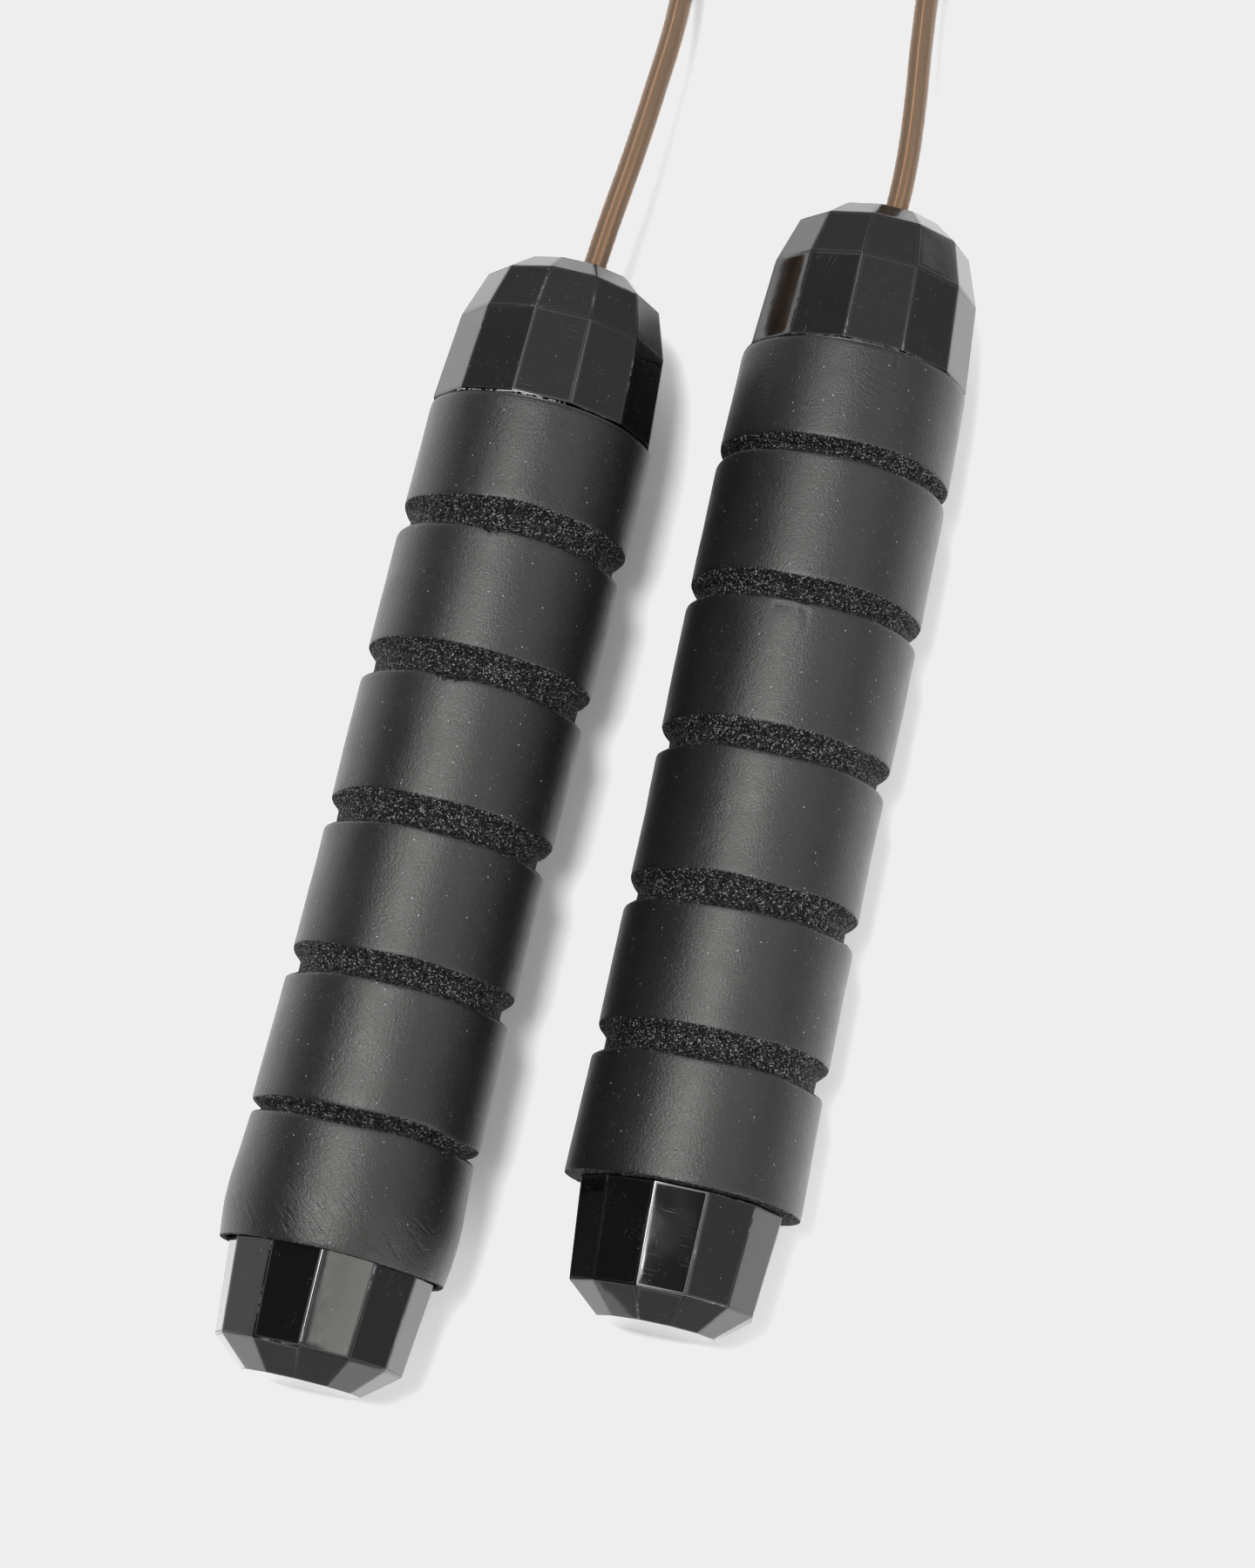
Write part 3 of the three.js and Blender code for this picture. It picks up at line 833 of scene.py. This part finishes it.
def foam_cut_material():
    """Cut open cells: black hollows with painted shade in their middles, and a few walls with painted glints
    of light.
    """
    material, nodes, surface, place = new_material("foam_cut")
    distance, colour = nodes.cells(place, CUT_CELL)
    chance = nodes.chance(colour)
    # painted glint: a few cells are coloured pale for the light that their walls would catch
    painted_glint = nodes.ramp(chance, 0.86, 0.96)
    wall = nodes.ramp(distance, 0.2, 0.7)
    nodes.put(surface.inputs["Normal"], nodes.bump(distance, 0.1 * MM))
    # painted shade: each cell is coloured darker in its middle than at its walls, for the shade deep in it
    painted_hollow_shade = nodes.mix(wall, grey(0.001), grey(0.004))
    nodes.put(surface.inputs["Base Color"], nodes.mix(painted_glint, painted_hollow_shade, grey(0.14)))
    nodes.put(surface.inputs["Roughness"], 0.7)
    nodes.put(surface.inputs["Specular IOR Level"], nodes.ramp(chance, 0.3, 0.9, 0.05, 0.5))
    return material


def coat_material():
    """Clear, smoky brown PVC."""
    material, nodes, surface, place = new_material("rope_coat")
    nodes.put(surface.inputs["Base Color"], (0.16, 0.13, 0.1, 1))
    nodes.put(surface.inputs["Roughness"], nodes.ramp(nodes.noise(place, 2 * MM), 0.3, 0.7, 0.3, 0.4))
    nodes.put(surface.inputs["IOR"], 1.4)
    nodes.put(surface.inputs["Alpha"], 0.3)
    return material


WIRE_COLOURS = ((0.07, 0.05, 0.032, 1), (0.09, 0.064, 0.04, 1))


def wire_material():
    """Bronze-brown strands, whose shine through the coat is orange."""
    material, nodes, surface, place = new_material("rope_wire")
    tarnish = nodes.noise(place, 1.0 * MM, 3, 0.6)
    nodes.put(surface.inputs["Base Color"], nodes.mix(tarnish, *WIRE_COLOURS))
    nodes.put(surface.inputs["Specular Tint"], (1, 0.38, 0.08, 1))
    nodes.put(surface.inputs["IOR"], 1.7)
    nodes.put(surface.inputs["Specular IOR Level"], 1.0)
    nodes.put(surface.inputs["Roughness"], nodes.ramp(tarnish, 0.3, 0.7, 0.16, 0.24))
    return material


def darker(colour, share):
    return tuple(share * channel for channel in colour[:3]) + (1,)


def marked(nodes, surface, marks, colour, share, roughness, spread, depth):
    """Gives a surface its colour, roughness and bump, all varied by the same marks."""
    nodes.put(surface.inputs["Base Color"], nodes.mix(marks, colour, darker(colour, share)))
    nodes.put(surface.inputs["Roughness"], nodes.ramp(marks, 0.3, 0.7, roughness, roughness + spread))
    nodes.put(surface.inputs["Normal"], nodes.bump(marks, depth))


def metal_material(name, colour, roughness, turned):
    """A turned or ground metal, with fine marks."""
    material, nodes, surface, place = new_material(name)
    marks = nodes.noise(nodes.stretch(place, (1, 1, turned)), 0.4 * MM, 3)
    marked(nodes, surface, marks, colour, 0.8, roughness, 0.12, 0.01 * MM)
    nodes.put(surface.inputs["Metallic"], 1.0)
    return material


def plain_plastic_material(name, colour, roughness):
    material, nodes, surface, place = new_material(name)
    marks = nodes.noise(place, 0.8 * MM, 4)
    marked(nodes, surface, marks, colour, 0.75, roughness, 0.15, 0.02 * MM)
    return material


MATERIALS = {
    "cap": cap_material("gloss_plastic", (0.05, 0.12)),
    "cap_rim": cap_material("rubbed_plastic", (0.3, 0.4)),
    "cap_edge": cap_edge_material(),
    "burr": plain_plastic_material("plastic_burr", grey(0.45), 0.5),
    "foam_skin": foam_skin_material(),
    "foam_cut": foam_cut_material(),
    "coat": coat_material(),
    "wire": wire_material(),
    "steel": metal_material("bearing_steel", grey(0.55, (0.98, 1, 1.03)), 0.2, 0.2),
    "brass": metal_material("turned_brass", (0.6, 0.42, 0.16, 1), 0.22, 0.3),
    "tube": plain_plastic_material("black_tube", grey(0.02), 0.4),
    "cage": plain_plastic_material("natural_nylon", (0.62, 0.57, 0.42, 1), 0.4),
    "strap": plain_plastic_material("strap_tape", grey(0.015), 0.8),
}

# The look of each CAD node inside a handle, by a part of its name. The cage comes before the balls.
INNER_LOOKS = {
    "core_tube": "tube", "ball_cage": "cage", "bearing_outer_ring": "steel", "bearing_inner_ring": "steel",
    "front_shield": "steel", "rear_shield": "steel", "swivel_sleeve": "brass", "washer": "steel",
    "stop_collar": "brass", "set_screw": "steel", "ball_": "steel",
}


def set_look(node, look):
    node.data.materials.clear()
    node.data.materials.append(MATERIALS[look])


def finish_inner_parts():
    """The CAD nodes inside a handle keep their shape and get their material."""
    for name, node in frame["nodes"].items():
        look = next((look for part, look in INNER_LOOKS.items() if part in name), None)
        if look:
            set_look(node, look)
            shade(node.data, 30)


# ---------------------------------------------------------------- the stage

FLOOR_SIZE = 8
FLOOR_ALBEDO = 0.9
MATT = 0.9  # the roughness of the floor and the cards
STAGE_CENTRE = Vector((0, 0, 17)) * MM


def matt_sheet(name, across, along, height, albedo):
    """A level grey sheet over an x range and a y range: the sheet, its Nodes and its surface."""
    (left, right), (near, far) = across, along
    corners = [(left, near, height), (right, near, height), (right, far, height), (left, far, height)]
    mesh = bpy.data.meshes.new(name)
    mesh.from_pydata(corners, [], [(0, 1, 2, 3)])
    material, nodes, surface, _ = new_material(name)
    nodes.put(surface.inputs["Base Color"], grey(albedo))
    nodes.put(surface.inputs["Roughness"], MATT)
    mesh.materials.append(material)
    return add_object(name, mesh), nodes, surface


def make_floor():
    half = FLOOR_SIZE / 2
    floor, nodes, surface = matt_sheet("floor", (-half, half), (-half, half), 0, FLOOR_ALBEDO)
    nodes.put(surface.inputs["Specular IOR Level"], 0.0)


LAMP_DISTANCE = 1.6

# Each lamp's direction from the stage's centre, its width and height in metres, its power and its colour.
LAMPS = {
    "key": ((-0.215, 0.03, 0.976), 0.42, 0.44, 26, (1, 1, 1)),
    "right_fill": ((0.65, -0.6, 0.45), 0.8, 0.6, 9, (1, 1, 1)),
    "front_fill": ((-0.15, -0.8, 0.58), 0.6, 0.6, 6, (1, 1, 1)),
    "back_fill": ((0.64, 0.22, 0.74), 0.55, 0.6, 3, (1, 1, 1)),
    "back_strip": ((-0.27, 0.57, 0.78), 0.17, 1.5, 7, (1, 1, 1)),
    "reflected_panel": ((0.467, -0.1975, 0.866), 0.5, 0.3, 1.6, (1, 1, 0.92)),
}


def soft_light(name, direction, width, height, power, colour):
    """A lamp that faces the stage's centre, with its width square to the Y axis."""
    data = bpy.data.lights.new(name, "AREA")
    data.shape = "RECTANGLE"
    data.size = width
    data.size_y = height
    data.energy = power
    data.color = colour
    lamp = add_object(name, data)
    toward = Vector(direction).normalized()
    across = Vector((0, 1, 0)).cross(toward).normalized()
    turn = Matrix((across, toward.cross(across), toward)).transposed()
    lamp.matrix_world = Matrix.Translation(STAGE_CENTRE + toward * LAMP_DISTANCE) @ turn.to_4x4()
    lamp.visible_camera = False


# Grey cards out of the camera's sight, there only to be mirrored: x range and y range in metres, and albedo.
CARDS = {
    "front_card": ((-0.15, 0.15), (-0.64, -0.14), 0.28),
    "left_card": ((-0.9, -0.17), (-0.5, 0.5), 0.45),
}
CARD_HEIGHT = 1 * MM


def make_card(name, across, along, albedo):
    card, _, _ = matt_sheet(name, across, along, CARD_HEIGHT, albedo)
    card.visible_camera = card.visible_diffuse = card.visible_shadow = False


def make_lights():
    for name, lamp in LAMPS.items():
        soft_light(name, *lamp)
    for name, card in CARDS.items():
        make_card(name, *card)
    make_world()
    tone()


ROOM_TINT = (0.98, 0.99, 1.03)

# Darker parts of the room: direction, the nearness (a cosine) at which each starts, the nearness at which it
# is full, and the share of the light that it leaves.
DARK_PARTS = [
    ((-0.75, -0.1, 0.65), 0.6, 0.88, 0.08),
    ((0.05, -1, 0), 0.75, 0.97, 0.15),
    ((-0.02, -0.14, 0.99), 0.965, 0.99, 0.25),
]


def make_world():
    """A pale room, with a dark part up at the left, one low in front and a small one overhead."""
    world = bpy.data.worlds.new("studio")
    bpy.context.scene.world = world
    world.use_nodes = True
    world.node_tree.nodes.clear()
    nodes = Nodes(world.node_tree)
    direction = nodes.make("ShaderNodeTexCoord").outputs["Generated"]
    height = nodes.make("ShaderNodeSeparateXYZ", {0: direction}).outputs["Z"]
    level = nodes.ramp(height, 0.0, 0.9, 0.42, 0.78)
    for centre, start, end, least in DARK_PARTS:
        nearness = nodes.make("ShaderNodeVectorMath", {0: direction, 1: centre}, operation="DOT_PRODUCT")
        level = nodes.math("MULTIPLY", level, nodes.ramp(nearness.outputs["Value"], start, end, 1.0, least))
    background = nodes.make("ShaderNodeBackground", {"Color": grey(1, ROOM_TINT), "Strength": level})
    nodes.make("ShaderNodeOutputWorld", {"Surface": background.outputs[0]})


WHITE_LEVEL = 0.855  # the pale grey that the overexposed floor is toned down to
COMBINED_CURVE = 3  # after the red, green and blue curves


def tone():
    """Plain display, with everything brighter than the white level held at it."""
    view = bpy.context.scene.view_settings
    view.view_transform = "Standard"
    view.use_curve_mapping = True
    curve = view.curve_mapping.curves[COMBINED_CURVE]
    curve.points[1].location = (1, WHITE_LEVEL)
    curve.points.new(WHITE_LEVEL, WHITE_LEVEL)
    for point in curve.points:
        point.handle_type = "VECTOR"
    view.curve_mapping.update()


# ---------------------------------------------------------------- putting it together

coat, wire = make_rope()
for piece, look in ((coat, "coat"), (wire, "wire")):
    piece.data.materials.append(MATERIALS[look])
    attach(piece, "rope")
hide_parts("rope_left_lead", "rope_right_lead", "rope_coil")

for side in SIDES:
    foam_grip(side)
    for which in ("nose", "end"):
        moulded_cap(side, which)
    seam_burrs(side)
finish_inner_parts()
set_look(frame["nodes"]["coil_strap"], "strap")
make_floor()
make_lights()
